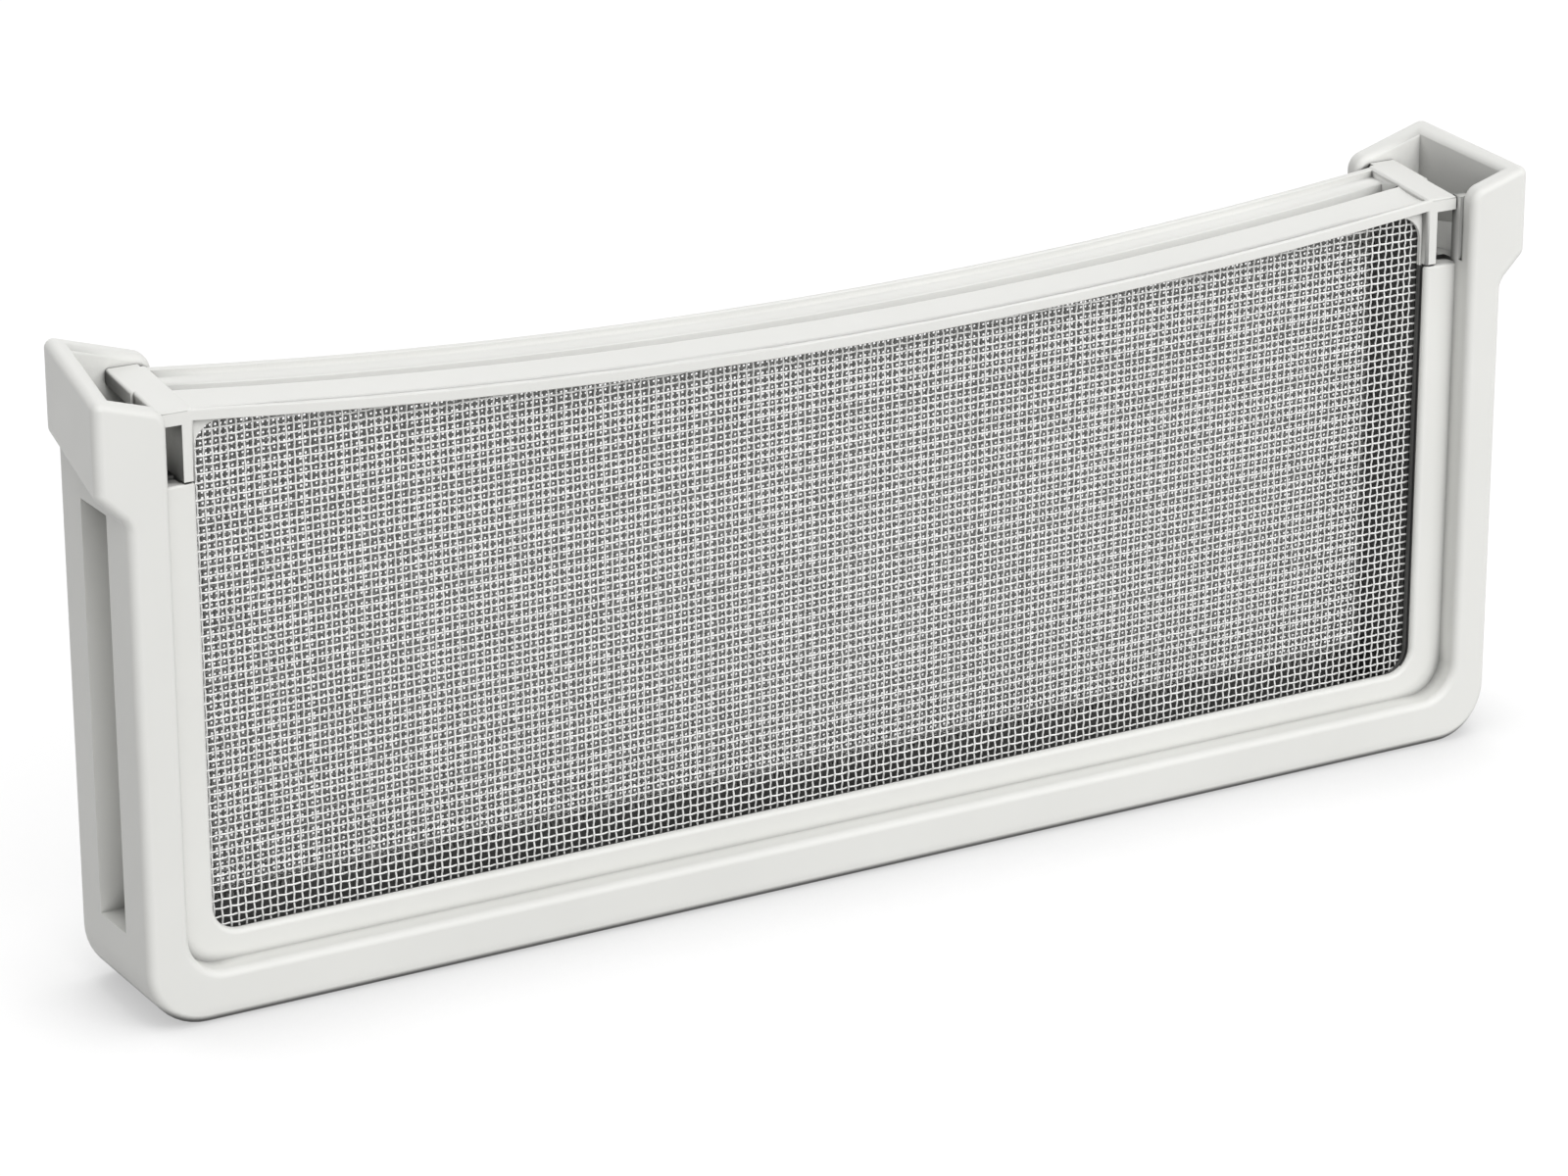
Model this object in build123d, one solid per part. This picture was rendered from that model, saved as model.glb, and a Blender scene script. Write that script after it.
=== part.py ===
from build123d import *

import os
from math import asin, degrees

# Tumble dryer lint filter: a moulded carrier with a lift-out screen cassette.
# The carrier is one U-shaped moulding, open at the top, with a guide channel down each side and a
# hollow ear at each upper corner. The cassette slides down into it: a front and a rear screen frame,
# laid face to face, each with its own woven mesh. Millimetres, +Z up, front face towards -Y, origin
# under the middle of the bottom face.

# Overall sizes of the carrier
BODY_WIDTH = 290.0
BODY_DEPTH = 30.0
BODY_CORNER_RADIUS = 11.0
EDGE_RADIUS = 1.7

# Front and rear borders: a proud rim, then a ledge stepped back from it
RIM_WIDTH = 8.0
RIM_HEIGHT = 9.2
RIM_CORNER_RADIUS = 7.0
STEP_DEPTH = 5.0
LEDGE_WIDTH = 7.0
LEDGE_HEIGHT = 5.0
LEDGE_THICKNESS = 1.4
LEDGE_CORNER_RADIUS = 5.0
LEDGE_EDGE_RADIUS = 1.0
LEDGE_DROP = 0.9
LEDGE_END_CHAMFER = 0.5

# Guide channels down the two sides, and the walls round the cassette
CHANNEL_WIDTH = 11.0
CHANNEL_FLOOR = 16.0
WEB_THICKNESS = 2.4
FLOOR_THICKNESS = 2.9

# Hollow ears at the upper corners
EAR_OVERHANG = 5.6
EAR_UNDERSIDE = 98.8
EAR_HEIGHT = 17.8
EAR_RISE_OUTWARD = 0.3
EAR_RISE_BACKWARD = 0.17
EAR_UNDERSIDE_RISE = 0.287
EAR_TAPER = 3.8
EAR_WALL = 4.0
EAR_FLOOR_THICKNESS = 5.4
EAR_REAR_REACH = 8.8
EAR_OUTER_RADIUS = 2.0
EAR_INNER_RADIUS = 3.2
EAR_END_RADIUS = 3.4
EAR_TOP_RADIUS = 1.5
RIB_LENGTH = 2.4
RIB_WIDTH = 2.5
RIB_STAND = 0.2

# Screen frames of the cassette
CLEARANCE = 0.3
END_WALL = 2.3
PANEL_THICKNESS = 1.6
BASE_WALL = 2.4
CASSETTE_CORNER_RADIUS = 6.0
WINDOW_BORDER = 0.4
WINDOW_SAG = 7.0
WINDOW_RISE = 10.1
WINDOW_CORNER_RADIUS = 5.0

# Rails along the top of the cassette, which rise towards the rear
LIP_HEIGHT = 2.1
LIP_THICKNESS = 0.9
LIP_STAND = 0.4
RAIL_DEPTH = 9.6
RAIL_THICKNESS = 2.4
RAIL_RISE = 1.1
RAIL_DISH = 0.3
MOUTH_WIDTH = 5.5
STEP_HEIGHT = 1.5
REAR_LIP_THICKNESS = 1.5
REAR_LIP_STAND = 2.2
LIP_EDGE_RADIUS = 0.35

# Lifting lugs at the ends of the cassette
TOP_SLOPE = 0.12
LUG_THICKNESS = 2.7
LUG_STAND = 0.25
SEAM_STEP = 0.5
LUG_EDGE_RADIUS = 0.6

# Woven meshes
MESH_THICKNESS = 0.8
MESH_EMBED = 1.2
MESH_COLUMNS = 34
MESH_ROWS = 2
MESH_BAR = 0.9

# Two places closer than this count as one when edges are picked
TOUCH = 1e-4

# Places that follow from the sizes above
HALF_WIDTH = BODY_WIDTH / 2
HALF_DEPTH = BODY_DEPTH / 2
BEYOND = BODY_DEPTH
RIM_INNER = HALF_WIDTH - RIM_WIDTH
LEDGE_INNER = RIM_INNER - LEDGE_WIDTH
LEDGE_FACE = HALF_DEPTH - STEP_DEPTH
LEDGE_BACK = LEDGE_FACE - LEDGE_THICKNESS
LEDGE_BOTTOM = RIM_HEIGHT + LEDGE_HEIGHT
LEDGE_TOP = EAR_UNDERSIDE - LEDGE_DROP
CASSETTE_HALF = LEDGE_INNER + END_WALL
CASSETTE_FACE = LEDGE_BACK - CLEARANCE
WELL_HALF = CASSETTE_HALF + CLEARANCE
CHANNEL_INNER = WELL_HALF + WEB_THICKNESS
EAR_HALF = HALF_WIDTH + EAR_OVERHANG
EAR_ROOT = EAR_UNDERSIDE - EAR_OVERHANG
EAR_TOP_FRONT = EAR_UNDERSIDE + EAR_HEIGHT
EAR_FLOOR = EAR_ROOT + EAR_FLOOR_THICKNESS
BLOCK_TOP = EAR_TOP_FRONT + BODY_DEPTH * EAR_RISE_BACKWARD + EAR_WALL
WINDOW_HALF = LEDGE_INNER - WINDOW_BORDER
WINDOW_BOTTOM = LEDGE_BOTTOM - WINDOW_BORDER
WINDOW_TOP_END = EAR_UNDERSIDE + WINDOW_RISE
ARC_RADIUS = (LEDGE_INNER ** 2 + WINDOW_SAG ** 2) / (2 * WINDOW_SAG)
ARC_CENTRE = WINDOW_TOP_END - WINDOW_SAG + ARC_RADIUS
LIP_TOP_MIDDLE = WINDOW_TOP_END - WINDOW_SAG + LIP_HEIGHT
LIP_TOP_END = WINDOW_TOP_END + LIP_HEIGHT
RIB_TOP = LIP_TOP_END + RIB_STAND
LUG_END = RIM_INNER - CLEARANCE
LUG_BACK = HALF_DEPTH - EAR_WALL - CLEARANCE


def slab(outline, y_from, y_to):
    """An outline drawn in X and Z, carried through the depth from y_from to y_to."""
    return extrude(Plane.XZ.offset(-y_to) * outline, amount=y_to - y_from)


def block(x_from, x_to, y_from, y_to, z_from, z_to):
    """A box between two corners."""
    middle = ((x_from + x_to) / 2, (y_from + y_to) / 2, (z_from + z_to) / 2)
    return Pos(*middle) * Box(x_to - x_from, y_to - y_from, z_to - z_from)


def both_ends(piece):
    """A piece at the right end and its mirror image at the left end."""
    return piece + mirror(piece, about=Plane.YZ)


def both_faces(piece):
    """A piece at the front face and its mirror image at the rear face."""
    return piece + mirror(piece, about=Plane.XZ)


def cup_outline(half_width, bottom, top, corner_radius):
    """A rectangle with its two lower corners rounded."""
    sheet = Pos(0, (bottom + top) / 2) * Rectangle(2 * half_width, top - bottom)
    return fillet(sheet.vertices().group_by(Axis.Y)[0], corner_radius)


def edges_on_face(solid, y):
    """The edges that lie wholly in the upright plane at depth y."""
    return [edge for edge in solid.edges() if all(abs(v.Y - y) < TOUCH for v in edge.vertices())]


def ear_lower_edges(solid):
    """The two edges along the depth where an ear's outer wall turns into its underside."""
    return [
        edge for edge in solid.edges().filter_by(GeomType.LINE)
        if abs(edge.center().X) > EAR_HALF - EAR_TAPER + TOUCH
        and abs(edge.center().Y) < HALF_DEPTH / 2
        and edge.center().Z < EAR_TOP_FRONT
    ]


def beyond_plane(origin, normal):
    """A large block on the outer side of the plane through origin."""
    size = 3 * BODY_WIDTH
    outward = (Align.CENTER, Align.CENTER, Align.MIN)
    return Plane(origin=origin, z_dir=normal) * Box(size, size, size, align=outward)


def ear_block():
    """The right ear before it is hollowed: a section in X and Z, carried backwards and upwards."""
    low = EAR_ROOT - EAR_HEIGHT
    section = make_face(Polyline(
        (RIM_INNER, low),
        (HALF_WIDTH, low),
        (HALF_WIDTH, EAR_ROOT),
        (EAR_HALF, EAR_UNDERSIDE),
        (EAR_HALF, BLOCK_TOP),
        (RIM_INNER, BLOCK_TOP),
        close=True,
    ))
    section = fillet(section.vertices().sort_by_distance((HALF_WIDTH, EAR_ROOT))[0], EAR_INNER_RADIUS)
    way = Vector(0, BODY_DEPTH, BODY_DEPTH * EAR_UNDERSIDE_RISE)
    ear = extrude(Plane.XZ.offset(HALF_DEPTH) * section, amount=way.length, dir=way.normalized())
    return ear & block(0, EAR_HALF, -HALF_DEPTH, HALF_DEPTH, 0, BLOCK_TOP)


def outside_ear(inset=0.0):
    """Everything beyond the right ear's outer wall, which leans inwards towards the rear."""
    return beyond_plane((EAR_HALF - inset, -HALF_DEPTH, 0), (BODY_DEPTH, EAR_TAPER, 0))


def ear_pocket():
    """The finger pocket of the right ear: its floor turns up beside the sloping underside."""
    wall_inner = EAR_HALF - EAR_WALL
    turn = EAR_OVERHANG
    profile = make_face(Polyline(
        (LEDGE_INNER, EAR_FLOOR),
        (wall_inner - turn, EAR_FLOOR),
        (wall_inner, EAR_FLOOR + turn),
        (wall_inner, BLOCK_TOP + BEYOND),
        (LEDGE_INNER, BLOCK_TOP + BEYOND),
        close=True,
    ))
    straight = slab(profile, EAR_WALL - HALF_DEPTH, HALF_DEPTH - EAR_WALL)
    return straight - outside_ear(inset=EAR_WALL)


def ear_rear_wall():
    """The stretch of the right ear's rear wall that reaches past the rim, with a sloping underside."""
    reach = RIM_INNER - EAR_REAR_REACH
    profile = make_face(Polyline(
        (RIM_INNER, LEDGE_TOP - EAR_REAR_REACH),
        (reach, LEDGE_TOP),
        (reach, BLOCK_TOP),
        (RIM_INNER, BLOCK_TOP),
        close=True,
    ))
    return slab(profile, HALF_DEPTH - EAR_WALL, HALF_DEPTH)


def ear_rib():
    """The upright rib inside the end of the right ear's front wall, beside the lug."""
    wall_face = EAR_WALL - HALF_DEPTH
    return block(RIM_INNER, RIM_INNER + RIB_LENGTH, wall_face, wall_face + RIB_WIDTH, EAR_FLOOR, RIB_TOP)


def ear_top_normal():
    """The upward normal of the right ear's sloping top."""
    return Vector(-EAR_RISE_OUTWARD, -EAR_RISE_BACKWARD, 1).normalized()


def ear_top_edges(solid):
    """The edges that lie in the right ear's sloping top."""
    corner = Vector(EAR_HALF, -HALF_DEPTH, EAR_TOP_FRONT)
    return [
        edge for edge in solid.edges()
        if all(abs((Vector(v) - corner).dot(ear_top_normal())) < TOUCH for v in edge.vertices())
    ]


def wall_end_edges(solid):
    """The top edges, along the depth, where the ear's front and rear walls end towards the window."""
    ends = (RIM_INNER, RIM_INNER - EAR_REAR_REACH)
    return [
        edge for edge in ear_top_edges(solid)
        if any(all(abs(v.X - x) < TOUCH for v in edge.vertices()) for x in ends)
    ]


def ledge_end_edges(solid):
    """The outer edges at the tops of the ledges, beside the ears."""
    return [
        edge for face in (-LEDGE_FACE, LEDGE_FACE) for edge in edges_on_face(solid, face)
        if abs(edge.center().Z - LEDGE_TOP) < TOUCH
    ]


def ear_rim_edges(solid):
    """The ear's top edges, without the smooth seams across its rounded wall ends."""
    return [
        edge for edge in ear_top_edges(solid)
        if edge.geom_type != GeomType.LINE or edge.length > EAR_WALL + EDGE_RADIUS
    ]


def build_carrier():
    body = slab(cup_outline(HALF_WIDTH, 0, BLOCK_TOP, BODY_CORNER_RADIUS), -HALF_DEPTH, HALF_DEPTH)
    body += both_ends(ear_block() - outside_ear())
    body = fillet(ear_lower_edges(body), EAR_OUTER_RADIUS)
    body = fillet(edges_on_face(body, -HALF_DEPTH) + edges_on_face(body, HALF_DEPTH), EDGE_RADIUS)

    # The rim opening and the ledge opening behind it, on both faces, and the well between them
    top = BLOCK_TOP + BEYOND
    rim_opening = cup_outline(RIM_INNER, RIM_HEIGHT, top, RIM_CORNER_RADIUS)
    ledge_opening = cup_outline(LEDGE_INNER, LEDGE_BOTTOM, top, LEDGE_CORNER_RADIUS)
    well = cup_outline(WELL_HALF, FLOOR_THICKNESS, top, CASSETTE_CORNER_RADIUS)
    body -= both_faces(slab(rim_opening, LEDGE_FACE, HALF_DEPTH))
    body -= both_faces(slab(ledge_opening, LEDGE_BACK, LEDGE_FACE))
    ledge_edges = [
        edge for face in (-LEDGE_FACE, LEDGE_FACE) for edge in edges_on_face(body, face)
        if abs(edge.center().X) < LEDGE_INNER + TOUCH and edge.center().Z > RIM_HEIGHT + TOUCH
    ]
    body = fillet(ledge_edges, LEDGE_EDGE_RADIUS)
    body -= slab(well, -LEDGE_BACK, LEDGE_BACK)

    # Ledges end below the ears, and the ears are hollow
    ledge_end = block(LEDGE_INNER - END_WALL, RIM_INNER, LEDGE_BACK - END_WALL, HALF_DEPTH, LEDGE_TOP, top)
    body -= both_ends(both_faces(ledge_end))
    body = chamfer(ledge_end_edges(body), LEDGE_END_CHAMFER)
    body -= both_ends(ear_pocket())
    body += both_ends(ear_rear_wall())

    # Guide channels, open to the sides
    side = CHANNEL_WIDTH / 2
    channel = block(CHANNEL_INNER, EAR_HALF + BEYOND, -side, side, CHANNEL_FLOOR, EAR_ROOT)
    body -= both_ends(channel)

    # Sloping tops of the ears, made on one half and mirrored
    half = body & block(0, EAR_HALF + BEYOND, -BEYOND, BEYOND, -BEYOND, top)
    half -= beyond_plane((EAR_HALF, -HALF_DEPTH, EAR_TOP_FRONT), ear_top_normal())
    half = fillet(wall_end_edges(half), EAR_END_RADIUS)
    half = fillet(ear_rim_edges(half), EAR_TOP_RADIUS)
    return both_ends(half + ear_rib())


def window_outline(grow=0.0):
    """The mesh window: straight sides, a top edge hollowed by a large arc, and rounded corners."""
    half = WINDOW_HALF + grow
    bottom = WINDOW_BOTTOM - grow
    top = WINDOW_TOP_END + BODY_DEPTH
    sheet = Pos(0, (bottom + top) / 2) * Rectangle(2 * half, top - bottom)
    sheet -= Pos(0, ARC_CENTRE) * Circle(ARC_RADIUS + WINDOW_BORDER - grow)
    return fillet(sheet.vertices(), WINDOW_CORNER_RADIUS + grow)


def swept_rail(profile):
    """A rail section drawn in Y and Z at the middle, carried along the hollow arc of the top edge."""
    axis = Axis((0, 0, ARC_CENTRE), (0, 1, 0))
    half_angle = degrees(asin((CASSETTE_HALF + BODY_DEPTH) / ARC_RADIUS))
    face = (Plane.YZ * profile).rotate(axis, -half_angle)
    rail = revolve(face, axis=axis, revolution_arc=2 * half_angle)
    half = LEDGE_INNER + END_WALL / 2
    return rail & block(-half, half, -HALF_DEPTH, HALF_DEPTH, FLOOR_THICKNESS, BLOCK_TOP + BEYOND)


def front_rail_profile():
    """Lip at the front, then a dished top that rises towards the mouth."""
    lip = LIP_TOP_MIDDLE
    face = -LEDGE_FACE
    back = face + RAIL_DEPTH
    under_lip = lip - LIP_HEIGHT
    dish_start = (face + LIP_THICKNESS, lip - LIP_STAND)
    dish_end = (back, lip - LIP_STAND + RAIL_RISE)
    dish_middle = ((dish_start[0] + dish_end[0]) / 2, (dish_start[1] + dish_end[1]) / 2 - RAIL_DISH)
    outline = Polyline(
        dish_end,
        (back, dish_end[1] - RAIL_THICKNESS),
        (PANEL_THICKNESS - CASSETTE_FACE, under_lip - WINDOW_BORDER),
        (-CASSETTE_FACE, under_lip - WINDOW_BORDER),
        (-CASSETTE_FACE, under_lip),
        (face, under_lip),
        (face, lip),
        (face + LIP_THICKNESS, lip),
        dish_start,
    ) + ThreePointArc(dish_start, dish_middle, dish_end)
    profile = make_face(outline)
    lip_edges = profile.vertices().filter_by(lambda v: abs(v.X - face) < TOUCH).sort_by(Axis.Y)
    profile = fillet(lip_edges[-1], LIP_EDGE_RADIUS)
    return chamfer(profile.vertices().sort_by_distance((face, under_lip))[0], LIP_EDGE_RADIUS / 2)


def rear_rail_profile():
    """A step inside, then a thin wall that stands up along the rear."""
    lip = LIP_TOP_MIDDLE
    mouth = RAIL_DEPTH + MOUTH_WIDTH - LEDGE_FACE
    wall = LEDGE_FACE - REAR_LIP_THICKNESS
    top = lip + REAR_LIP_STAND
    step_back = top - STEP_HEIGHT
    step_front = step_back - TOP_SLOPE * (wall - mouth)
    under_lip = lip - LIP_HEIGHT
    profile = make_face(Polyline(
        (mouth, step_front),
        (wall, step_back),
        (wall, top),
        (LEDGE_FACE, top),
        (LEDGE_FACE, under_lip),
        (CASSETTE_FACE, under_lip),
        (CASSETTE_FACE, under_lip - WINDOW_BORDER),
        (CASSETTE_FACE - PANEL_THICKNESS, under_lip - WINDOW_BORDER),
        (mouth, step_front - RAIL_THICKNESS),
        close=True,
    ))
    profile = fillet(profile.vertices().sort_by_distance((LEDGE_FACE, top))[0], LIP_EDGE_RADIUS)
    for corner in ((wall, top), (mouth, step_front)):
        profile = chamfer(profile.vertices().sort_by_distance(corner)[0], LIP_EDGE_RADIUS)
    return profile


def top_line(y):
    """The height of the sloping top of the end plates and lugs at depth y."""
    return LIP_TOP_END + LUG_STAND + TOP_SLOPE * (y + LEDGE_FACE)


def outer_corners(profile):
    """The corners of a plate's section that lie on the front or the rear of the cassette."""
    return profile.vertices().filter_by(lambda v: abs(abs(v.X) - LEDGE_FACE) < TOUCH)


def end_plate(y_from, y_to):
    """The right end plate between two depths, above the ledges, with a sloping top."""
    low = LEDGE_TOP + CLEARANCE
    profile = make_face(Polyline(
        (y_from, low),
        (y_to, low),
        (y_to, top_line(y_to)),
        (y_from, top_line(y_from)),
        close=True,
    ))
    profile = fillet(outer_corners(profile).group_by(Axis.Y)[-1], LUG_EDGE_RADIUS)
    plate = extrude(Plane.YZ.offset(LEDGE_INNER) * profile, amount=END_WALL)
    inner_top = plate.faces().sort_by(Axis.X)[0].edges().sort_by(Axis.Z)[-1]
    return fillet(inner_top, LUG_EDGE_RADIUS)


def lug(y_from, y_to, x_end):
    """The right lifting lug between two depths: a plate that reaches from the end plate into the ear."""
    profile = make_face(Polyline(
        (y_from, top_line(y_from) - LUG_THICKNESS),
        (y_to, top_line(y_to) - LUG_THICKNESS),
        (y_to, top_line(y_to)),
        (y_from, top_line(y_from)),
        close=True,
    ))
    start = LEDGE_INNER + END_WALL / 2
    plate = extrude(Plane.YZ.offset(start) * profile, amount=x_end - start)
    front_top = plate.faces().sort_by(Axis.Y)[0].edges().sort_by(Axis.Z)[-1]
    outer_top = plate.faces().sort_by(Axis.X)[-1].edges().sort_by(Axis.Z)[-1]
    return fillet([front_top, outer_top] if y_from < 0 else outer_top, LUG_EDGE_RADIUS)


def screen_tray(y_face, y_seam):
    """One half of the cassette box: a panel with the window, two side walls and a base wall."""
    inward = 1 if y_seam > y_face else -1
    y_panel = y_face + inward * PANEL_THICKNESS
    sides_top = WINDOW_TOP_END
    outer = cup_outline(CASSETTE_HALF, FLOOR_THICKNESS, sides_top, CASSETTE_CORNER_RADIUS - CLEARANCE)
    floor = FLOOR_THICKNESS + BASE_WALL
    inner = cup_outline(LEDGE_INNER, floor, sides_top + BEYOND, CASSETTE_CORNER_RADIUS - END_WALL)
    tray = slab(outer, min(y_face, y_seam), max(y_face, y_seam))
    tray -= slab(inner, min(y_panel, y_seam), max(y_panel, y_seam))
    above_rail = slab(Pos(0, ARC_CENTRE) * Circle(ARC_RADIUS - WINDOW_BORDER), -BEYOND, BEYOND)
    between_ends = block(-LEDGE_INNER, LEDGE_INNER, -BEYOND, BEYOND, 0, ARC_CENTRE)
    return tray - (above_rail & between_ends)


def mesh_place(y_face):
    """The two depths of the mesh inside a panel whose outer face is at y_face."""
    inward = -1 if y_face > 0 else 1
    inner = y_face + inward * PANEL_THICKNESS
    outer = inner - inward * MESH_THICKNESS
    return min(inner, outer), max(inner, outer)


def build_screen_frame(front):
    """The front or the rear half of the cassette, with its rail, end plates, lugs and mesh groove."""
    sign = -1 if front else 1
    y_face = sign * CASSETTE_FACE
    y_rail = sign * LEDGE_FACE
    frame = screen_tray(y_face, 0)
    frame += swept_rail(front_rail_profile() if front else rear_rail_profile())
    y_from, y_to = min(y_rail, 0), max(y_rail, 0)
    lug_depths = (y_rail, 0) if front else (0, LUG_BACK)
    lug_end = LUG_END if front else LUG_END + SEAM_STEP
    frame += both_ends(end_plate(y_from, y_to))
    frame += both_ends(lug(*lug_depths, lug_end))
    frame -= slab(window_outline(), y_face - PANEL_THICKNESS, y_face + PANEL_THICKNESS)
    frame -= slab(window_outline(MESH_EMBED), *mesh_place(y_face))
    return frame


def build_mesh(y_face):
    """One mesh: upright wires on its outer side, level wires on its inner side, held in a border."""
    y_from, y_to = mesh_place(y_face)
    y_middle = (y_from + y_to) / 2
    outer_half = (y_from, y_middle) if y_face < 0 else (y_middle, y_to)
    inner_half = (y_middle, y_to) if y_face < 0 else (y_from, y_middle)
    whole = window_outline(MESH_EMBED)
    mesh = slab(whole - window_outline(-MESH_BAR), y_from, y_to)
    column_pitch = 2 * WINDOW_HALF / MESH_COLUMNS
    row_pitch = (WINDOW_TOP_END - WINDOW_SAG - WINDOW_BOTTOM) / MESH_ROWS
    height = WINDOW_TOP_END - WINDOW_BOTTOM
    uprights = Sketch() + [
        Pos(column_pitch * i - WINDOW_HALF, WINDOW_BOTTOM + height / 2) * Rectangle(MESH_BAR, height)
        for i in range(1, MESH_COLUMNS)
    ]
    levels = Sketch() + [
        Pos(0, WINDOW_BOTTOM + row_pitch * i) * Rectangle(2 * WINDOW_HALF, MESH_BAR)
        for i in range(1, MESH_ROWS)
    ]
    mesh += slab(uprights & whole, *outer_half)
    mesh += slab(levels, *inner_half)
    return mesh


def main():
    nodes = {
        "carrier_frame": build_carrier(),
        "front_screen_frame": build_screen_frame(front=True),
        "rear_screen_frame": build_screen_frame(front=False),
        "front_mesh": build_mesh(-CASSETTE_FACE),
        "rear_mesh": build_mesh(CASSETTE_FACE),
    }
    os.makedirs("parts", exist_ok=True)
    for name, solid in nodes.items():
        export_step(solid, f"parts/{name}.step")


main()
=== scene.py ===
# %% [markdown]
# A lint filter for a tumble dryer. A U-shaped carrier stands on the table, and a cassette of two moulded
# halves slides down into it between two hollow ears. Each half holds a woven wire mesh, and lint collects
# in the pocket between them. This lesson loads the CAD part, gives its mouldings a satin finish, weaves the
# meshes wire by wire, and then sets floor, light and camera. The CAD frame fixes every size and place.

# %% Load the CAD frame
import math

import bmesh
import bpy
import numpy as np
from mathutils import Matrix, Vector


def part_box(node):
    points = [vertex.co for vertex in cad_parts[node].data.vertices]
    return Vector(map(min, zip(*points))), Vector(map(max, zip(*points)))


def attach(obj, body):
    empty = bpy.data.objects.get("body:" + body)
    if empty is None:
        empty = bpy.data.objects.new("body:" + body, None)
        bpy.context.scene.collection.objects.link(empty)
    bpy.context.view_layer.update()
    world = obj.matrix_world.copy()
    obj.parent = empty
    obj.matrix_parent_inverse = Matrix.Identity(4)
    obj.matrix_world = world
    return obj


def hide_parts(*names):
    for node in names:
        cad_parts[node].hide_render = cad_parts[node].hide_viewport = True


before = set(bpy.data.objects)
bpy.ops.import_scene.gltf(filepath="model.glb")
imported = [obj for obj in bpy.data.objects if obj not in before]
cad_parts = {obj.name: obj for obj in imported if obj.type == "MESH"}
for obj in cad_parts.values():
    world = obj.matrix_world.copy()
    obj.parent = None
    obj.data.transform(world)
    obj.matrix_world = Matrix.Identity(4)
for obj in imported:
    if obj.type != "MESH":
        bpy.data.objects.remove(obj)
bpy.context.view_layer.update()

# %% [markdown]
# The mouldings are off-white satin plastic. One flat colour would look like paper, so slow clouds run
# between two close tones, as in a moulding that cooled unevenly. A painted image could do this too, but
# noise on Object coordinates needs no file, has no seam and stays on the piece when it moves. The second
# plastic is a dark grey of painted shade for the inside of the cassette, where little lamp light reaches.

# %% Two plastics with slow clouds


def new_finish(name):
    """A new material that is built from nodes."""
    finish = bpy.data.materials.new(name)
    finish.use_nodes = True
    return finish


def add_node(owner, kind, **inputs):
    """A new node of a finish or of the world, with inputs set by name. An underscore stands for a space."""
    node = owner.node_tree.nodes.new(kind)
    for name, value in inputs.items():
        node.inputs[name.replace("_", " ")].default_value = value
    return node


def noise(owner, scale, detail, roughness):
    """Smooth random values between 0 and 1, with about scale waves to the metre and finer ones on top."""
    place = add_node(owner, "ShaderNodeTexCoord")
    pattern = add_node(owner, "ShaderNodeTexNoise", Scale=scale, Detail=detail, Roughness=roughness)
    owner.node_tree.links.new(place.outputs["Object"], pattern.inputs["Vector"])
    return pattern.outputs["Fac"]


def between_tones(owner, share, ends, tones):
    """The first tone up to the first end of the share, the second from the second end, a blend between."""
    ramp = add_node(owner, "ShaderNodeValToRGB")
    for stop, end, tone in zip(ramp.color_ramp.elements, ends, tones):
        stop.position = end
        stop.color = (*tone, 1)
    owner.node_tree.links.new(share, ramp.inputs["Fac"])
    return ramp.outputs["Color"]


CLOUDS = {"scale": 22.0, "detail": 3.0, "roughness": 0.55}
CLOUD_ENDS = (0.30, 0.70)
WHITE_TONES = ((0.715, 0.715, 0.690), (0.745, 0.745, 0.720))
# The grey tones are painted shade for the inside of the cassette.
INSIDE_SHADE_TONES = ((0.060, 0.060, 0.058), (0.085, 0.085, 0.083))
frame_white = new_finish("satin_frame_white")
inside_painted_shade = new_finish("satin_inside_painted_shade")
white_clouds = between_tones(frame_white, noise(frame_white, **CLOUDS), CLOUD_ENDS, WHITE_TONES)
inside_shade_clouds = between_tones(inside_painted_shade, noise(inside_painted_shade, **CLOUDS), CLOUD_ENDS, INSIDE_SHADE_TONES)
print("clouds of colour in", frame_white.name, "and", inside_painted_shade.name)

# %% [markdown]
# In narrow gaps and deep corners the mouldings get painted shade, darker than the lamps alone make them.
# The Ambient Occlusion node tells how open each point is, from 0 in a crack to 1 on a free face. Here it is
# a mask: closed points take a dark tone of painted shade, and open ones keep their clouds.

# %% Painted shade in gaps and corners

SHADE_REACH = 0.011
SHADE_ENDS = (0.29, 0.62)
# These two dark tones are painted shade for gaps and corners.
WHITE_RECESS_SHADE = (0.05, 0.05, 0.048)
INSIDE_RECESS_SHADE = (0.03, 0.03, 0.03)


def spread(owner, value, old, new):
    """A value carried in a straight line from an old range to a new one, and held at the new one's ends."""
    ends = {"From_Min": old[0], "From_Max": old[1], "To_Min": new[0], "To_Max": new[1]}
    line = add_node(owner, "ShaderNodeMapRange", **ends)
    owner.node_tree.links.new(value, line.inputs["Value"])
    return line.outputs["Result"]


def openness(owner, reach):
    """The share of the half space over a point in which nothing lies within reach."""
    return add_node(owner, "ShaderNodeAmbientOcclusion", Distance=reach).outputs["AO"]


def blend(owner, share, none, full):
    """A colour from none at a share of 0 to full at 1. Each is three numbers or a node's output."""
    mix = add_node(owner, "ShaderNodeMix")
    mix.data_type = "RGBA"
    owner.node_tree.links.new(share, mix.inputs[0])
    for socket, colour in ((mix.inputs[6], none), (mix.inputs[7], full)):
        if isinstance(colour, tuple):
            socket.default_value = (*colour, 1)
        else:
            owner.node_tree.links.new(colour, socket)
    return mix.outputs[2]


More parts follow.
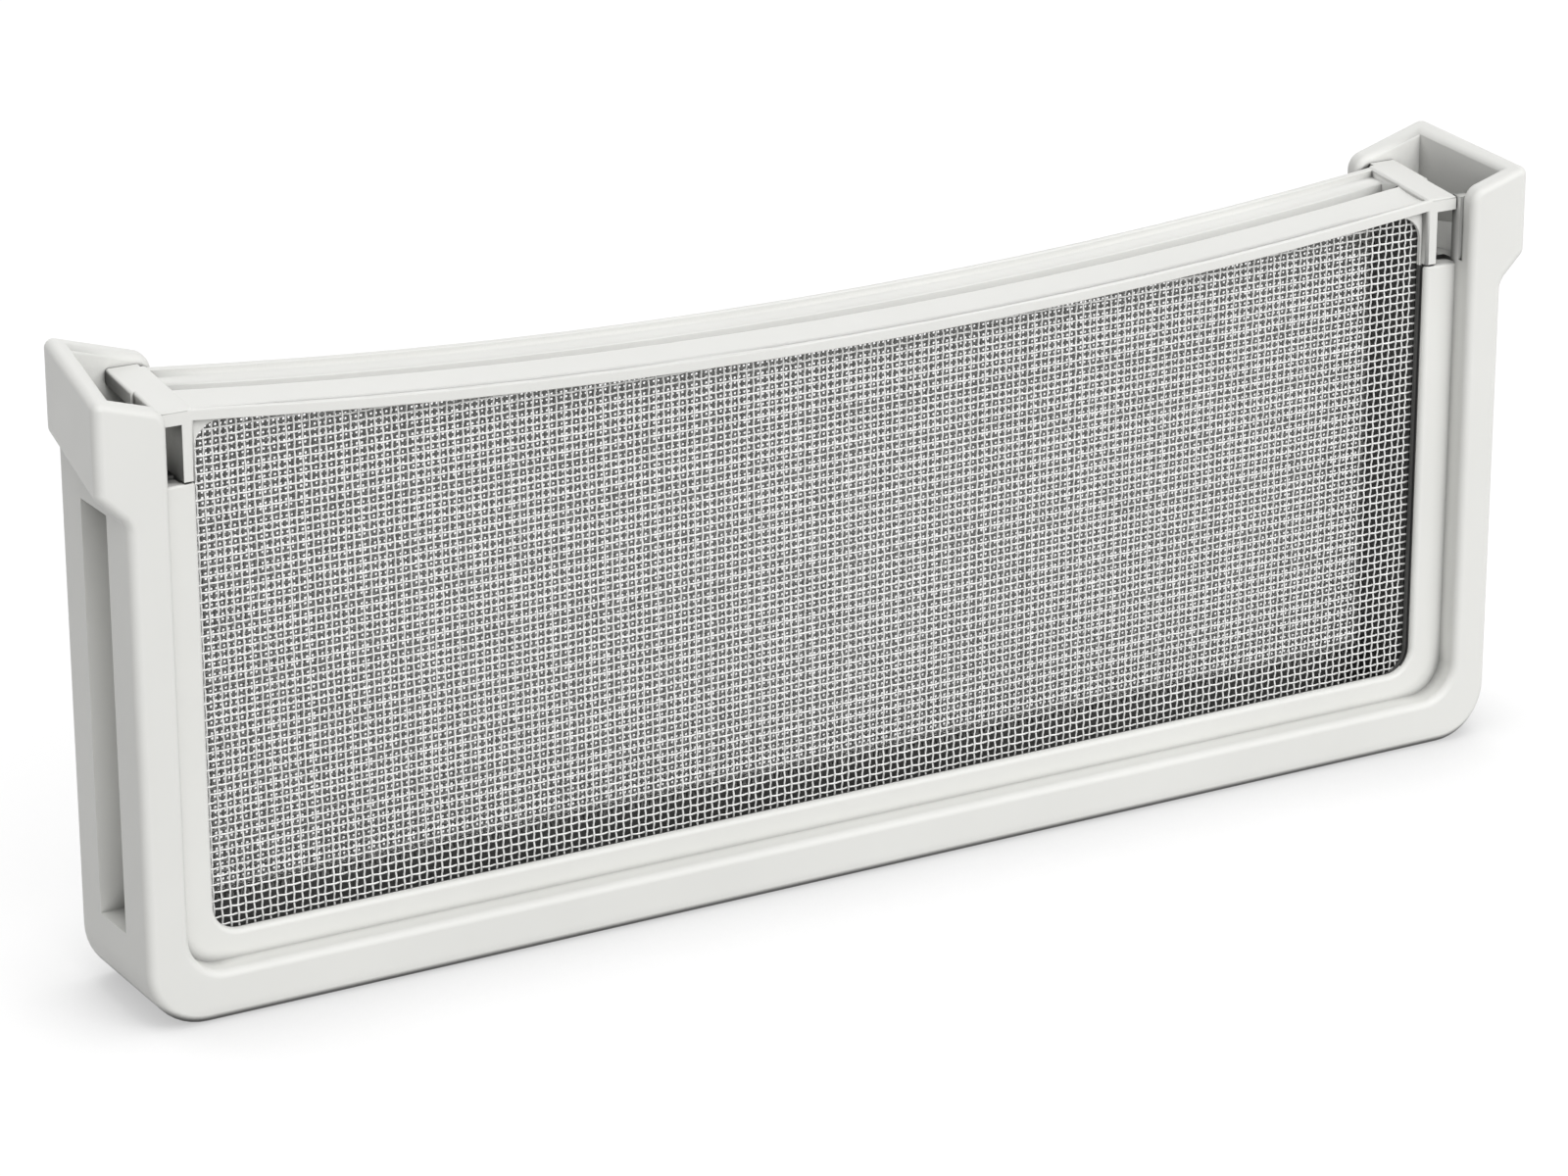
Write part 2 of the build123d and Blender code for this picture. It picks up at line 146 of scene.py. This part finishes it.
def paint_shade_in_recesses(plastic, clouds, painted_shade):
    """Painted shade below the first end of openness, clouds from the second end on, a blend between."""
    free = spread(plastic, openness(plastic, SHADE_REACH), SHADE_ENDS, (0.0, 1.0))
    shader = plastic.node_tree.nodes["Principled BSDF"]
    plastic.node_tree.links.new(blend(plastic, free, painted_shade, clouds), shader.inputs["Base Color"])
    print("painted shade in the recesses of", plastic.name)


# Both plastics get painted shade in their recesses.
paint_shade_in_recesses(frame_white, white_clouds, WHITE_RECESS_SHADE)
paint_shade_in_recesses(inside_painted_shade, inside_shade_clouds, INSIDE_RECESS_SHADE)

# %% [markdown]
# A moulding tool leaves a fine spark-eroded grain, which makes the plastic satin rather than shiny. The
# grain is too small for geometry, so it is a faint bump. The gloss drifts a little in patches of a few
# millimetres, as it does where hands have rubbed the surface.

# %% Gloss and grain

GLOSS_PATCHES = {"scale": 140.0, "detail": 4.0, "roughness": 0.6}
SATIN_ROUGHNESS = (0.36, 0.50)
GRAIN = {"scale": 2600.0, "detail": 2.0, "roughness": 0.6}
GRAIN_DEPTH = 0.00004
GRAIN_STRENGTH = 0.05


def satin_surface(plastic):
    """Roughness that drifts between two values, and a bump with grains of a third of a millimetre."""
    shader = plastic.node_tree.nodes["Principled BSDF"]
    shader.inputs["IOR"].default_value = 1.49
    shader.inputs["Specular IOR Level"].default_value = 0.45
    links = plastic.node_tree.links
    gloss = spread(plastic, noise(plastic, **GLOSS_PATCHES), (0.0, 1.0), SATIN_ROUGHNESS)
    links.new(gloss, shader.inputs["Roughness"])
    bump = add_node(plastic, "ShaderNodeBump", Strength=GRAIN_STRENGTH, Distance=GRAIN_DEPTH)
    links.new(noise(plastic, **GRAIN), bump.inputs["Height"])
    links.new(bump.outputs["Normal"], shader.inputs["Normal"])
    print(plastic.name, "has", len(plastic.node_tree.nodes), "nodes")


satin_surface(frame_white)
satin_surface(inside_painted_shade)

# %% [markdown]
# One moulding shows both plastics: white outside, and the grey of painted shade in the lint pocket and on
# the narrow sides of the window. A separate piece for the grey would leave a seam, so each face of the one
# mesh picks its plastic. A face counts as inside by the place of its middle and by the way it looks.

# %% Which faces are inside

POCKET = np.array([[-0.13005, -0.00675, 0.00525], [0.13005, 0.00675, 0.1005]])
WINDOW = np.array([[-0.13060, -0.00900, 0.00525], [0.13060, 0.00900, 0.1090]])
BORDER_REACH = 0.1302
PANEL_REACH = 0.0085
WINDOW_FOOT = 0.0165
SIDE_FOOT, SIDE_HEAD = 0.0150, 0.0979
FACING = 0.6


def within(points, box):
    """For each point, whether it lies in a box given by its low and its high corner."""
    return np.all((points > box[0]) & (points < box[1]), axis=1)


def inside_faces(mesh):
    """For each face, whether it lies in the pocket, or in the window and looks across it, up from its foot
    or out of its narrow border. The window's own sides count only below the top of the ledge."""
    middles = np.empty(3 * len(mesh.polygons), np.float32)
    normals = np.empty_like(middles)
    mesh.polygons.foreach_get("center", middles)
    mesh.polygons.foreach_get("normal", normals)
    middles, normals = middles.reshape(-1, 3), normals.reshape(-1, 3)
    beside, depth, height = np.abs(middles[:, 0]), np.abs(middles[:, 1]), middles[:, 2]
    on_panel, below = depth < PANEL_REACH, height < SIDE_HEAD
    across = -np.sign(middles[:, 0]) * normals[:, 0] > FACING
    across &= below | (depth < POCKET[1, 1])
    border = on_panel & below & (height > SIDE_FOOT) & (beside < BORDER_REACH)
    upward = on_panel & (normals[:, 2] > FACING) & (height < WINDOW_FOOT)
    return within(middles, POCKET) | (within(middles, WINDOW) & (across | border | upward))


print("lint pocket in mm:", (1000 * (POCKET[1] - POCKET[0])).round(1))

# %% [markdown]
# The CAD pieces come in as loose triangles, which would look faceted. Modelling them again would only add
# errors, so each one gets a copy. It is cut along the window's border, so that the plastics change in a
# straight line. Its equal points are merged, and it is painted face by face. Last, all triangles of one flat
# face are joined, because the next step weighs faces by their size.

# %% Merged and painted copies

MERGE = 2e-6
FLAT = math.radians(0.05)
CUTS = (
    ((-BORDER_REACH, 0, 0), (1, 0, 0)),
    ((BORDER_REACH, 0, 0), (1, 0, 0)),
    ((0, 0, SIDE_FOOT), (0, 0, 1)),
    ((0, 0, SIDE_HEAD), (0, 0, 1)),
)


def painted_mesh(node, name):
    """A CAD node's mesh, cut by planes, its equal points merged, painted, and its flat faces joined."""
    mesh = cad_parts[node].data.copy()
    mesh.name = name
    mesh.materials.clear()
    for plastic in (frame_white, inside_painted_shade):
        mesh.materials.append(plastic)
    work = bmesh.new()
    work.from_mesh(mesh)
    for place, across in CUTS:
        everything = work.verts[:] + work.edges[:] + work.faces[:]
        bmesh.ops.bisect_plane(work, geom=everything, dist=MERGE, plane_co=place, plane_no=across)
    bmesh.ops.remove_doubles(work, verts=work.verts, dist=MERGE)
    work.to_mesh(mesh)
    mesh.polygons.foreach_set("material_index", inside_faces(mesh).astype(np.int32))
    work.clear()
    work.from_mesh(mesh)
    bmesh.ops.dissolve_limit(
        work, angle_limit=FLAT, verts=work.verts, edges=work.edges, delimit={"MATERIAL"})
    work.to_mesh(mesh)
    work.free()
    print(name, "has", len(mesh.polygons), "faces")
    return mesh


carrier_mesh = painted_mesh("carrier_frame", "carrier_moulding")
front_half_mesh = painted_mesh("front_screen_frame", "front_half_moulding")
rear_half_mesh = painted_mesh("rear_screen_frame", "rear_half_moulding")

# %% [markdown]
# On a real moulding, broad faces are flat and small rounded edges catch the light. Smooth shading alone
# would bend the light on the broad faces too. So edges sharper than a crease angle stay sharp, and each
# normal follows the largest face that meets there. Each copy then stands for its CAD piece.

# %% Smooth mouldings

CREASE = math.radians(32)


def smooth_moulding(mesh, node, body):
    """An object with smooth, face-weighted normals that rides on a body and takes a CAD node's place."""
    mesh.shade_smooth()
    mesh.set_sharp_from_angle(angle=CREASE)
    piece = bpy.data.objects.new(mesh.name, mesh)
    bpy.context.scene.collection.objects.link(piece)
    weigh = piece.modifiers.new("flat faces stay flat", "WEIGHTED_NORMAL")
    weigh.keep_sharp = True
    weigh.weight = 100
    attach(piece, body)
    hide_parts(node)
    print(piece.name, "stands for", node)


smooth_moulding(carrier_mesh, "carrier_frame", "carrier")
smooth_moulding(front_half_mesh, "front_screen_frame", "cassette")
smooth_moulding(rear_half_mesh, "rear_screen_frame", "cassette")

# %% [markdown]
# Each mesh is a plain weave: every upright wire passes in front of one level wire and behind the next. A
# picture of a weave on a flat sheet would show no depth and no second mesh behind it, so each wire is a real
# tube. First comes the outline that the wires fill. It is the window's own outline, with its hollow upper
# edge and rounded corners, drawn a little larger, so that the wires end inside the groove of the frame.

# %% The outline that the wires fill

WINDOW_HALF = 0.1296
WINDOW_BOTTOM = 0.0138
ARC_RADIUS = 1.21064
ARC_CENTRE = 1.31254
BORDER = 0.0004
CORNER = 0.005
TUCK = 0.0008


def outline_half_width(z):
    """How far the mesh reaches sideways at height z: straight, less a quarter round at each corner."""
    radius = CORNER + TUCK
    drop = np.clip(WINDOW_BOTTOM - TUCK + radius - z, 0, radius)
    rise = np.clip(z - top_corner_height(), 0, radius)
    return WINDOW_HALF + TUCK - radius + np.sqrt(radius ** 2 - np.maximum(drop, rise) ** 2)


def top_corner_height():
    """The height of the upper corner rounds' centres, which touch the straight side and the hollow arc."""
    radius = CORNER + TUCK
    reach = ARC_RADIUS + BORDER - TUCK + radius
    return ARC_CENTRE - math.sqrt(reach ** 2 - (WINDOW_HALF + TUCK - radius) ** 2)


def arc_height(x):
    """The height of the hollow upper edge at x: a large circle whose centre lies far above."""
    return ARC_CENTRE - np.sqrt((ARC_RADIUS + BORDER - TUCK) ** 2 - x ** 2)


print("mesh top from", round(1000 * float(arc_height(0.0)), 1), "mm in the middle to",
      round(1000 * (top_corner_height() + CORNER + TUCK), 1), "mm at the ends")

# %% [markdown]
# Through the front mesh the rear one shows as an even grey without holes, so the rear one is the finer and
# closer of the two. Its pitch is no simple fraction of the front one's, so no broad stripes appear where
# they overlap. Here each wire is still a straight line in the sheet, from one edge of the outline to
# another. The upper edge is hollow, so a level wire near it comes in two stretches.

# %% Where each wire starts and ends

FRONT_WEAVE = {
    "pitch": 0.00155, "broad": 0.00041, "deep": 0.00030,
    "swing": 0.00010, "stray": 0.000054, "sides": 5, "rings": [-0.28, 0.28],
}
REAR_WEAVE = {
    "pitch": 0.00100, "broad": 0.00061, "deep": 0.00034,
    "swing": 0.00017, "stray": 0.000018, "sides": 4, "rings": [0.0],
}
HEIGHT_STEPS = 2400
SHORTEST_STRETCH = CORNER / 3


def wire_runs(cross, low, high, parity):
    """One row for each stretch of wire: its place across, its start and end, and its weave sign."""
    return np.stack([cross, low, high, parity], axis=1)


def upright_runs(columns):
    """Upright wires: from the bottom edge to the hollow upper edge, shortened at the rounded corners."""
    reach = np.linspace(WINDOW_BOTTOM - TUCK, top_corner_height() + CORNER + TUCK, HEIGHT_STEPS)
    inside = np.abs(columns)[:, None] <= outline_half_width(reach)[None, :]
    inside &= reach[None, :] <= arc_height(np.abs(columns))[:, None]
    low = reach[np.argmax(inside, axis=1)]
    high = reach[len(reach) - 1 - np.argmax(inside[:, ::-1], axis=1)]
    parity = 1 - 2 * (np.arange(len(columns)) % 2)
    return wire_runs(columns, low, high, parity)


def level_runs(rows):
    """Level wires: from side to side, and in two stretches where the hollow upper edge cuts them."""
    half = outline_half_width(rows)
    radius = ARC_RADIUS + BORDER - TUCK
    cut = np.sqrt(np.clip(radius ** 2 - (ARC_CENTRE - rows) ** 2, 0, None))
    parity = 1 - 2 * (np.arange(len(rows)) % 2)
    whole = cut <= 0
    parted = ~whole & (half - cut > SHORTEST_STRETCH)
    return np.concatenate([
        wire_runs(rows[whole], -half[whole], half[whole], parity[whole]),
        wire_runs(rows[parted], cut[parted], half[parted], parity[parted]),
        wire_runs(rows[parted], -half[parted], -cut[parted], parity[parted]),
    ])


def wire_places(weave):
    """The places of the upright wires along x and of the level wires along z, one pitch apart."""
    pitch = weave["pitch"]
    columns = np.arange(-WINDOW_HALF + pitch / 2, WINDOW_HALF, pitch)
    rows = np.arange(WINDOW_BOTTOM + pitch / 2, top_corner_height() + CORNER, pitch)
    return columns, rows


for weave in (FRONT_WEAVE, REAR_WEAVE):
    columns, rows = wire_places(weave)
    print(len(upright_runs(columns)), "upright and", len(level_runs(rows)), "level stretches of wire")

# %% [markdown]
# No loom sets its wires quite evenly, and a perfect grid looks drawn. So each wire gets its own small step
# to the side, and all of them share a slow drift, as where the sheet was pulled into its frame. Both come
# from a seed, so the mesh is the same in every render.

# %% Small unevenness of the weave

DRIFT = 0.000022
WAVES = ((1.0, 270, 95, 1.0), (0.7, 610, -230, 2.1), (0.5, 95, 480, 3.7))


def uneven(places, stray, seed):
    """Places with a random step added to each, from a normal spread of the given stray."""
    return places + stray * np.random.default_rng(seed).standard_normal(len(places))


def wander(across, along, seed):
    """The drift times a sum of sine waves. A wave has a height, its pace along and across, and a phase."""
    return DRIFT * sum(
        height * np.sin(along * pace_along + across * pace_across + phase * seed)
        for height, pace_along, pace_across, phase in WAVES)


print("the drift reaches", round(1000 * DRIFT * sum(wave[0] for wave in WAVES), 3), "mm")

# %% [markdown]
# A woven wire runs level over one neighbour and slopes down to pass under the next. It is drawn through two
# rings of points at each crossing, or through one where the mesh is too fine to show more. A curve with a
# bevel would do for one wire, but hundreds of them are quicker as one array of rings. Rings beyond the
# outline are pulled back to its edge, and the walls between two such rings are left out.

# %% Tubes that go over and under

SLIVER = 1e-6


def woven_wires(runs, weave, first, middle, seed, upright):
    """Points, walls and caps of an oval ring carried along all runs, swung out and in at the crossings."""
    cross, low, high, parity = (runs[:, i][:, None] for i in range(4))
    pitch, sides = weave["pitch"], weave["sides"]
    lowest = math.floor((low.min() - first) / pitch) - 1
    highest = math.ceil((high.max() - first) / pitch) + 1
    crossing = np.arange(lowest, highest + 1)
    even = first + pitch * np.add.outer(crossing, weave["rings"]).ravel()[None, :]
    turn = np.repeat(1 - 2 * (crossing % 2), len(weave["rings"]))[None, :]
    along = np.clip(even, low, high)
    kept = (even[:, :-1] < high - SLIVER) & (even[:, 1:] > low + SLIVER)
    swing = weave["swing"] * parity * turn * (-1 if upright else 1)

    ring = np.exp(2j * np.pi * np.arange(sides) / sides - 0.5j * np.pi)
    across = (cross + wander(cross, along, seed))[..., None] + weave["broad"] / 2 * ring.real
    depth = (middle + swing)[..., None] + weave["deep"] / 2 * ring.imag
    points = np.stack([across, depth, np.repeat(along[..., None], sides, axis=2)], axis=-1)
    index = np.arange(points[..., 0].size).reshape(points.shape[:3])
    here, there = index[:, :-1], index[:, 1:]
    corners = [here, np.roll(here, -1, 2), np.roll(there, -1, 2), there]
    walls = np.stack(corners, axis=-1)[kept].reshape(-1, 4)
    edge = np.zeros((len(runs), 1), bool)
    starts = kept & ~np.concatenate([edge, kept[:, :-1]], axis=1)
    ends = kept & ~np.concatenate([kept[:, 1:], edge], axis=1)
    caps = np.concatenate([here[starts][:, ::-1], there[ends]])
    if not upright:
        points = points[..., ::-1]
        walls, caps = walls[:, ::-1], caps[:, ::-1]
    return points.reshape(-1, 3), walls, caps


print("front wire", 1000 * FRONT_WEAVE["broad"], "by", 1000 * FRONT_WEAVE["deep"], "mm, rear wire",
      1000 * REAR_WEAVE["broad"], "by", 1000 * REAR_WEAVE["deep"], "mm")

# %% [markdown]
# The wire is a dull light grey, only partly metallic. Patches of a few millimetres vary its tone, and fine
# streaks vary its roughness, as drawing and handling do. The side that faces the lint pocket is darker, as
# painted shade. That is what gives the rear mesh its even grey behind the front one.

# %% Wire, light outside and with painted shade inside

WIRE_PATCHES = {"scale": 260.0, "detail": 4.0, "roughness": 0.65}
PATCH_ENDS = (0.32, 0.68)
WIRE_STREAKS = {"scale": 1500.0, "detail": 2.0, "roughness": 0.5}
WIRE_ROUGHNESS = (0.28, 0.55)
OUTER_TONES = ((0.69, 0.69, 0.676), (0.85, 0.85, 0.836))
# The inner tones are painted shade, for the wire's side that faces the lint pocket.
INNER_SHADE_TONES = ((0.205, 0.205, 0.200), (0.30, 0.30, 0.292))


def mesh_wire(name, tones):
    """Grey wire: patches between two tones, and streaks between two values of roughness."""
    wire = new_finish(name)
    shader = wire.node_tree.nodes["Principled BSDF"]
    shader.inputs["Metallic"].default_value = 0.25
    patches = between_tones(wire, noise(wire, **WIRE_PATCHES), PATCH_ENDS, tones)
    wire.node_tree.links.new(patches, shader.inputs["Base Color"])
    streaks = spread(wire, noise(wire, **WIRE_STREAKS), (0.0, 1.0), WIRE_ROUGHNESS)
    wire.node_tree.links.new(streaks, shader.inputs["Roughness"])
    print(name, "has", len(wire.node_tree.nodes), "nodes")
    return wire


outer_wire = mesh_wire("outer_wire_light_grey", OUTER_TONES)
inner_wire_painted_shade = mesh_wire("inner_wire_painted_shade_grey", INNER_SHADE_TONES)

# %% [markdown]
# Last, the arrays become Blender meshes. Adding a hundred thousand faces one by one is slow, so foreach_set
# hands over whole arrays at once. Each mesh has two pieces, its upright and its level wires, and each piece
# stays under two hundred thousand triangles. Both lie in the middle of the CAD sheet that they stand for.

# %% The two woven meshes

FACING_INWARD = -0.5


def mesh_piece(name, points, walls, caps, outward):
    """A smooth object from points, four-sided walls and end caps, without the points that nothing uses.

    Faces that look away from the outward side of y get the inner finish, which is painted shade.
    """
    used, corners = np.unique(np.concatenate([walls.ravel(), caps.ravel()]), return_inverse=True)
    cap_starts = walls.size + np.arange(0, caps.size, caps.shape[1])
    starts = np.concatenate([np.arange(0, walls.size, 4), cap_starts])
    mesh = bpy.data.meshes.new(name)
    mesh.vertices.add(len(used))
    mesh.vertices.foreach_set("co", points[used].astype(np.float32).ravel())
    mesh.loops.add(len(corners))
    mesh.loops.foreach_set("vertex_index", corners.astype(np.int32).ravel())
    mesh.polygons.add(len(starts))
    mesh.polygons.foreach_set("loop_start", starts.astype(np.int32))
    mesh.update(calc_edges=True)
    mesh.validate()
    mesh.shade_smooth()
    normals = np.empty(3 * len(mesh.polygons), np.float32)
    mesh.polygons.foreach_get("normal", normals)
    for wire in (outer_wire, inner_wire_painted_shade):
        mesh.materials.append(wire)
    inner = outward * normals[1::3] < FACING_INWARD
    mesh.polygons.foreach_set("material_index", inner.astype(np.int32))
    piece = bpy.data.objects.new(name, mesh)
    bpy.context.scene.collection.objects.link(piece)
    print(name, "has", 2 * len(walls) + (caps.shape[1] - 2) * len(caps), "triangles")
    return piece


def woven_mesh(node, weave, seed):
    """The upright and level wires of one mesh, which ride on the cassette and replace the CAD sheet."""
    low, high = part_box(node)
    middle = (low.y + high.y) / 2
    outward = 1 if middle > 0 else -1
    columns, rows = wire_places(weave)
    upright = upright_runs(uneven(columns, weave["stray"], seed))
    level = level_runs(uneven(rows, weave["stray"], seed + 1))
    upright_tubes = woven_wires(upright, weave, rows[0], middle, seed, True)
    level_tubes = woven_wires(level, weave, columns[0], middle, seed, False)
    for name, tubes in (("upright", upright_tubes), ("level", level_tubes)):
        piece = mesh_piece(f"{node}_{name}_wires", *tubes, outward)
        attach(piece, "cassette")
        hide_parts(node)


woven_mesh("front_mesh", FRONT_WEAVE, seed=4)
woven_mesh("rear_mesh", REAR_WEAVE, seed=29)

# %% [markdown]
# The filter stands on a sheet of white paper. Lit white enough by lamps alone, the paper would need more
# light than the plastic can take, so most of its white is a glow that only shows to the camera, in gloss and
# through clear things. Close to the filter the glow fades, as a painted contact shadow, and the paper
# also takes the lamps' soft shadow. Other rays see a plain grey, so the glow doesn't light the filter.

# %% Floor

SEEN_GREY = (0.28, 0.28, 0.28)
UNSEEN_GREY = (0.55, 0.55, 0.55)
GLOW = 0.78
FADE_REACH = 0.05
FADE_ENDS = (0.45, 0.92)
FADED_SHARE = 0.62
FLOOR_SIZE = 8.0


def seen_directly(owner):
    """1 for rays from the camera, off a gloss or through a clear piece, and 0 for all others."""
    path = add_node(owner, "ShaderNodeLightPath")
    share = path.outputs["Is Camera Ray"]
    for kind in ("Is Glossy Ray", "Is Transmission Ray"):
        either = add_node(owner, "ShaderNodeMath")
        either.operation = "MAXIMUM"
        owner.node_tree.links.new(share, either.inputs[0])
        owner.node_tree.links.new(path.outputs[kind], either.inputs[1])
        share = either.outputs["Value"]
    return share


def glowing_paper(name):
    """Matt paper whose glow is full where nothing is near, and fades to a share of it in a corner as painted
    shadow.
    """
    paper = new_finish(name)
    paper.cycles.emission_sampling = "NONE"
    links = paper.node_tree.links
    shader = paper.node_tree.nodes["Principled BSDF"]
    shader.inputs["Roughness"].default_value = 1.0
    shader.inputs["Specular IOR Level"].default_value = 0.0
    seen = seen_directly(paper)
    links.new(blend(paper, seen, UNSEEN_GREY, SEEN_GREY), shader.inputs["Base Color"])
    # The glow fades near the filter as a painted contact shadow.
    painted_contact_shadow = spread(paper, openness(paper, FADE_REACH), FADE_ENDS, (FADED_SHARE, 1.0))
    links.new(painted_contact_shadow, shader.inputs["Emission Color"])
    links.new(spread(paper, seen, (0.0, 1.0), (0.0, GLOW)), shader.inputs["Emission Strength"])
    return paper


floor_mesh = bpy.data.meshes.new("floor_sheet")
floor_corners = np.array([[-1, -1, 0], [1, -1, 0], [1, 1, 0], [-1, 1, 0]]) * FLOOR_SIZE / 2
floor_mesh.from_pydata(floor_corners.tolist(), [], [(0, 1, 2, 3)])
floor_mesh.materials.append(glowing_paper("floor_paper"))
floor = bpy.data.objects.new("floor_sheet", floor_mesh)
bpy.context.scene.collection.objects.link(floor)
print("floor of", FLOOR_SIZE, "m")

# %% [markdown]
# The light is that of a small photo table. A broad window light comes from the front and a weak one from the
# ceiling, both as sun lamps with a wide disc, which give even light and soft shadows. A lamp near the right
# end makes that end the brighter one, and a third sun lamp, from behind, keeps the rear face readable.

# %% Lamps


def add_lamp(name, kind, strength, towards, place=(0.0, 0.0, 0.0)):
    """A lamp at a place that shines along a direction."""
    lamp = bpy.data.lights.new(name, kind)
    lamp.energy = strength
    holder = bpy.data.objects.new(name, lamp)
    turn = Vector(towards).to_track_quat("-Z", "Y")
    holder.matrix_world = Matrix.Translation(place) @ turn.to_matrix().to_4x4()
    bpy.context.scene.collection.objects.link(holder)
    print(name, "at", strength)
    return lamp


add_lamp("window_light", "SUN", 2.02, (0.05, 0.85, -0.70)).angle = math.radians(60)
add_lamp("ceiling_light", "SUN", 0.36, (0.0, 0.0, -1.0)).angle = math.radians(120)
add_lamp("rear_light", "SUN", 0.75, (0.0, -0.85, -0.52)).angle = math.radians(70)
add_lamp("right_hand_light", "AREA", 1.9, (-0.55, 0.75, -0.44), place=(0.55, -0.75, 0.50)).size = 0.5

# %% [markdown]
# The world stands for the white walls of the room. It adds a little light from all round, and shows as pure
# white to the camera and in reflections. The view transform is Standard, so colours come out as written.

# %% Room and view

ROOM_LIGHT = 0.26
world = bpy.data.worlds.new("soft_room")
world.use_nodes = True
walls = world.node_tree.nodes["Background"]
walls.inputs["Color"].default_value = (1, 1, 1, 1)
wall_light = spread(world, seen_directly(world), (0.0, 1.0), (ROOM_LIGHT, 1.0))
world.node_tree.links.new(wall_light, walls.inputs["Strength"])
bpy.context.scene.world = world
bpy.context.scene.view_settings.view_transform = "Standard"
print("room with", len(world.node_tree.nodes), "nodes")

# %% [markdown]
# The camera stands to the left of the filter and a little above it. It is far away and has a long lens,
# because the photograph's edges run nearly parallel. Its direction comes from two angles, round the filter
# and above the table, and a very small roll.

# %% Camera

CAMERA_PLACE = (-0.4749, -0.8006, 0.3807)
camera = bpy.data.objects.new("camera", bpy.data.cameras.new("camera"))
camera.data.lens = 121.5
camera.data.sensor_width = 36.0
camera.data.clip_start = 0.01
camera.data.clip_end = 50.0
azimuth, elevation, roll = (math.radians(v) for v in (-30.23, 19.43, -0.17))
flat = math.cos(elevation)
view = Vector((-flat * math.sin(azimuth), flat * math.cos(azimuth), -math.sin(elevation)))
turn = view.to_track_quat("-Z", "Y").to_matrix() @ Matrix.Rotation(roll, 3, "Z")
camera.matrix_world = Matrix.Translation(CAMERA_PLACE) @ turn.to_4x4()
bpy.context.scene.collection.objects.link(camera)
bpy.context.scene.camera = camera
print("camera", round(camera.location.length, 3), "m from the filter's foot")
